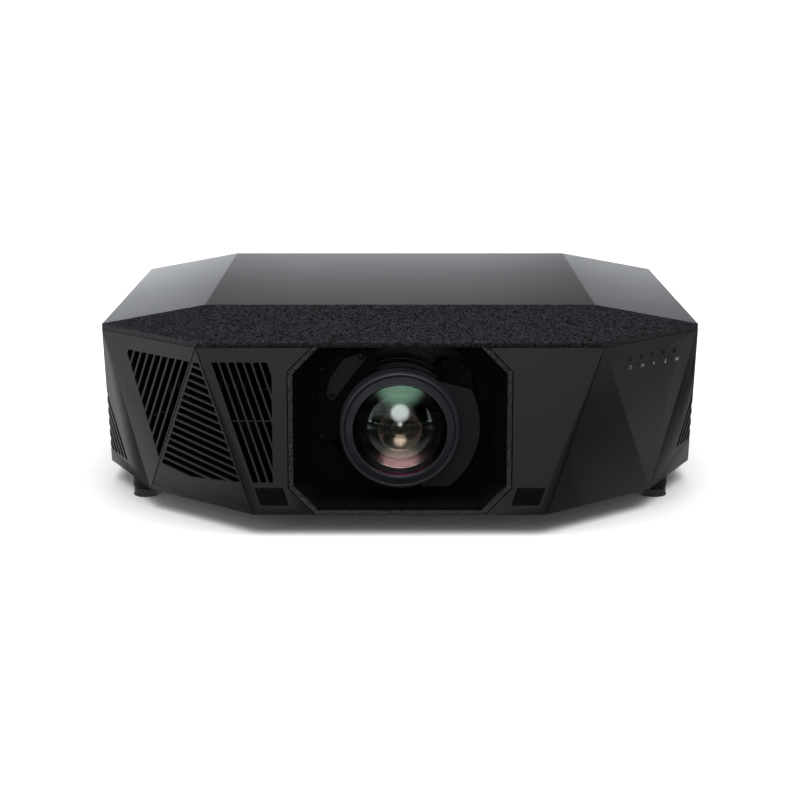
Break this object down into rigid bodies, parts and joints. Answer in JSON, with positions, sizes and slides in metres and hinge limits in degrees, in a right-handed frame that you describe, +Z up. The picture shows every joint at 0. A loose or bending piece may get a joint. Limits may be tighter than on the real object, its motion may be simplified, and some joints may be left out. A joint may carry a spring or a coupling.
{
  "type": "home projector",
  "caption": "Low faceted home-cinema projector with a deep octagonal lens window, slatted air grilles, a motor-shifted lens, adjustable front feet and a rear connector bay.",
  "frame": {"origin": "on the floor, under the middle of the case, between the feet", "axes": "+Z up, -Y out of the lens, +X to the right of a viewer facing the lens"},
  "size_m": [0.586, 0.5196, 0.197],
  "materials": {
    "coat": "fine-grain dark charcoal coat, satin",
    "coarse_coat": "coarse-grain dark charcoal coat with a faint sparkle",
    "black_plastic": "matt black moulded plastic",
    "lens_metal": "satin black anodised metal",
    "bare_metal": "bare die-cast and sheet metal",
    "dark_window": "gloss black, passes infrared",
    "lens_glass": "multi-coated optical glass, green and magenta reflections",
    "rubber": "matt black rubber",
    "circuit": "green solder mask",
    "filter_foam": "grey pleated filter medium"
  },
  "bodies": {
    "case": {"bottom_case": "black_plastic", "top_cover": "coat", "front_left_panel": "coat", "front_right_panel": "coat", "left_ir_window": "dark_window", "right_ir_window": "dark_window", "left_side_panel": "coat", "right_side_panel": "coat", "right_corner_panel": "coat", "status_light_bar": "dark_window", "rear_left_corner_panel": "coat", "rear_right_corner_panel": "coat", "rear_panel": "coat", "lens_window_trim": "coarse_coat", "lens_funnel": "black_plastic", "lens_bay_plate": "black_plastic", "rear_left_foot": "rubber", "rear_right_foot": "rubber", "shift_base_frame": "bare_metal", "optical_engine_housing": "bare_metal", "dichroic_prism": "lens_glass", "heat_sink": "bare_metal", "laser_module": "bare_metal", "wheel_bracket": "bare_metal", "exhaust_fan_frame": "black_plastic", "intake_fan_frame": "black_plastic", "connector_tray": "black_plastic", "hdmi_socket_1": "bare_metal", "hdmi_socket_2": "bare_metal", "lan_socket": "bare_metal", "main_board": "circuit", "power_supply": "bare_metal", "power_inlet": "dark_window"},
    "filter_cover": {"filter_cover": "coat", "air_filter": "filter_foam"},
    "front_left_foot": {"front_left_foot_pad": "rubber", "front_left_foot_stem": "bare_metal"},
    "front_right_foot": {"front_right_foot_pad": "rubber", "front_right_foot_stem": "bare_metal"},
    "vertical_carriage": {"vertical_carriage": "bare_metal"},
    "lens": {"horizontal_carriage": "bare_metal", "lens_barrel": "black_plastic", "lens_bezel": "lens_metal", "front_lens_element": "lens_glass", "rear_lens_element": "lens_glass", "lens_motor_housing": "black_plastic", "lens_bracket_base": "black_plastic", "lens_bracket": "black_plastic"},
    "focus_ring": {"focus_ring": "lens_metal"},
    "zoom_ring": {"zoom_ring": "lens_metal"},
    "focus_pinion": {"focus_pinion": "bare_metal"},
    "zoom_pinion": {"zoom_pinion": "bare_metal"},
    "exhaust_rotor": {"exhaust_fan_rotor": "black_plastic"},
    "intake_rotor": {"intake_fan_rotor": "black_plastic"},
    "phosphor_wheel": {"phosphor_wheel": "bare_metal"},
    "power_button": {"power_button": "black_plastic"},
    "menu_button": {"menu_button": "black_plastic"},
    "escape_button": {"escape_button": "black_plastic"},
    "enter_button": {"enter_button": "black_plastic"},
    "direction_ring": {"direction_ring": "black_plastic"}
  },
  "joints": [
    {"name": "lens_shift_vertical", "type": "slide", "parent": "case", "child": "vertical_carriage", "axis": [0, 0, 1], "range_m": [-0.008, 0.008]},
    {"name": "lens_shift_horizontal", "type": "slide", "parent": "vertical_carriage", "child": "lens", "axis": [1, 0, 0], "range_m": [-0.0075, 0.0075]},
    {"name": "focus_turn", "type": "hinge", "parent": "lens", "child": "focus_ring", "pos_m": [0, -0.19, 0.0955], "axis": [0, 1, 0], "range_deg": [-45, 45]},
    {"name": "zoom_turn", "type": "hinge", "parent": "lens", "child": "zoom_ring", "pos_m": [0, -0.168, 0.0955], "axis": [0, 1, 0], "range_deg": [-40, 40]},
    {"name": "focus_pinion_turn", "type": "hinge", "parent": "lens", "child": "focus_pinion", "pos_m": [0.0396, -0.19, 0.14269], "axis": [0, 1, 0], "range_deg": [-305, 305]},
    {"name": "zoom_pinion_turn", "type": "hinge", "parent": "lens", "child": "zoom_pinion", "pos_m": [0.06066, -0.19, 0.1062], "axis": [0, 1, 0], "range_deg": [-270, 270]},
    {"name": "exhaust_fan_spin", "type": "hinge", "parent": "case", "child": "exhaust_rotor", "pos_m": [0.2485, 0, 0.0697], "axis": [1, 0, 0], "continuous": true},
    {"name": "intake_fan_spin", "type": "hinge", "parent": "case", "child": "intake_rotor", "pos_m": [-0.15924, -0.19547, 0.0637], "axis": [-0.6197, -0.7848, 0], "continuous": true},
    {"name": "phosphor_wheel_spin", "type": "hinge", "parent": "case", "child": "phosphor_wheel", "pos_m": [0.055, 0.083, 0.075], "axis": [0, 1, 0], "continuous": true},
    {"name": "filter_cover_release", "type": "slide", "parent": "case", "child": "filter_cover", "axis": [-0.6131, -0.7765, -0.1455], "range_m": [0, 0.08]},
    {"name": "front_left_foot_height", "type": "slide", "parent": "case", "child": "front_left_foot", "axis": [0, 0, -1], "range_m": [0, 0.012]},
    {"name": "front_right_foot_height", "type": "slide", "parent": "case", "child": "front_right_foot", "axis": [0, 0, -1], "range_m": [0, 0.012]},
    {"name": "power_press", "type": "slide", "parent": "case", "child": "power_button", "axis": [0, -0.9975, -0.0702], "range_m": [0, 0.001], "stiffness_N_per_m": 1200},
    {"name": "menu_press", "type": "slide", "parent": "case", "child": "menu_button", "axis": [0, -0.9975, -0.0702], "range_m": [0, 0.001], "stiffness_N_per_m": 1200},
    {"name": "escape_press", "type": "slide", "parent": "case", "child": "escape_button", "axis": [0, -0.9975, -0.0702], "range_m": [0, 0.001], "stiffness_N_per_m": 1200},
    {"name": "enter_press", "type": "slide", "parent": "case", "child": "enter_button", "axis": [0, -0.9975, -0.0702], "range_m": [0, 0.001], "stiffness_N_per_m": 1200},
    {"name": "direction_ring_rock", "type": "hinge", "parent": "case", "child": "direction_ring", "pos_m": [0.122, 0.24741, 0.12766], "axis": [1, 0, 0], "range_deg": [-2.5, 2.5], "stiffness_Nm_per_rad": 0.2}
  ],
  "couplings": [
    {"joint": "focus_pinion_turn", "follows": "focus_turn", "ratio": -6.6625},
    {"joint": "zoom_pinion_turn", "follows": "zoom_turn", "ratio": -6.6625}
  ]
}
